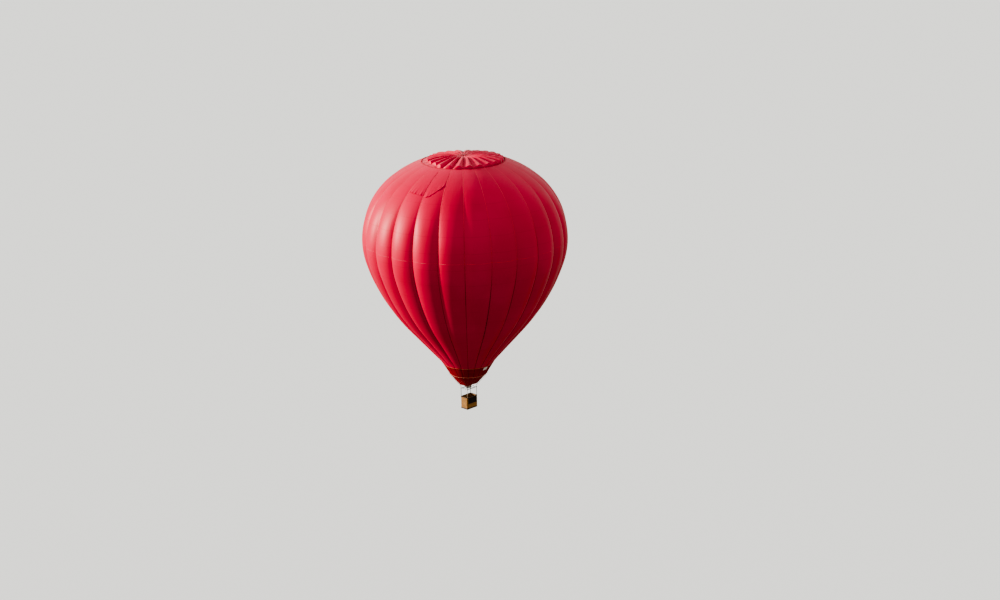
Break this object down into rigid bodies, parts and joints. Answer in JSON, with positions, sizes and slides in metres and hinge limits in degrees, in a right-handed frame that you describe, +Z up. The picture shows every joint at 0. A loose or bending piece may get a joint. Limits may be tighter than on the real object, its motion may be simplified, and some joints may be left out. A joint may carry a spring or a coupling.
{
  "type": "hot air balloon",
  "caption": "Hot air balloon with a gored envelope, parachute valve, skirt, flying wires, gimballed twin burner and a wicker basket.",
  "frame": {"origin": "on the balloon's vertical axis at the envelope's centre of lift, where the air holds it up", "axes": "+Z up through the crown, +X along the basket's long side, +Y along its short side"},
  "size_m": [18.3386, 18.3386, 23.7069],
  "materials": {
    "envelope_fabric": "coated ripstop fabric, red",
    "heat_cloth": "heat resistant woven cloth, dark red",
    "webbing": "woven tape, pale red",
    "steel": "brushed stainless steel",
    "wire": "stainless wire rope",
    "wicker": "woven willow and cane, oiled",
    "leather": "dark brown hide over foam",
    "cover_cloth": "near black canvas",
    "timber": "varnished plywood and ash",
    "cylinder_steel": "dull stainless fuel cylinder"
  },
  "bodies": {
    "balloon": {"basket_floor": "timber", "basket_rim": "leather", "basket_walls": "wicker", "burner_frame": "steel", "crown_ring": "steel", "crown_tapes": "webbing", "envelope_lower": "envelope_fabric", "envelope_upper": "envelope_fabric", "flying_wires_1": "wire", "flying_wires_2": "wire", "flying_wires_3": "wire", "flying_wires_4": "wire", "fuel_cylinder_1": "cylinder_steel", "fuel_cylinder_2": "cylinder_steel", "heat_band": "heat_cloth", "karabiner_1": "steel", "karabiner_2": "steel", "karabiner_3": "steel", "karabiner_4": "steel", "mouth_ring": "webbing", "scuff_band": "leather", "side_cover": "cover_cloth", "skid_1": "timber", "skid_2": "timber", "skid_3": "timber", "skirt": "heat_cloth", "turning_vent_flap_1": "envelope_fabric", "turning_vent_flap_2": "envelope_fabric", "upright_1": "leather", "upright_2": "leather", "upright_3": "leather", "upright_4": "leather"},
    "parachute_valve": {"parachute_valve": "envelope_fabric"},
    "gimbal_ring": {"gimbal_ring": "steel"},
    "burner": {"burner_block": "steel", "burner_can_1": "steel", "burner_can_2": "steel", "burner_coil_1": "steel", "burner_coil_2": "steel", "blast_valve_1": "steel", "blast_valve_2": "steel"}
  },
  "joints": [
    {"name": "parachute_drop", "type": "slide", "parent": "balloon", "child": "parachute_valve", "axis": [0, 0, -1], "range_m": [0, 1.2], "stiffness_N_per_m": 500, "springref_m": -0.6},
    {"name": "gimbal_roll", "type": "hinge", "parent": "balloon", "child": "gimbal_ring", "pos_m": [0, 0, -13.15], "axis": [1, 0, 0], "range_deg": [-15, 15]},
    {"name": "burner_pitch", "type": "hinge", "parent": "gimbal_ring", "child": "burner", "pos_m": [0, 0, -13.15], "axis": [0, 1, 0], "range_deg": [-15, 15]}
  ]
}
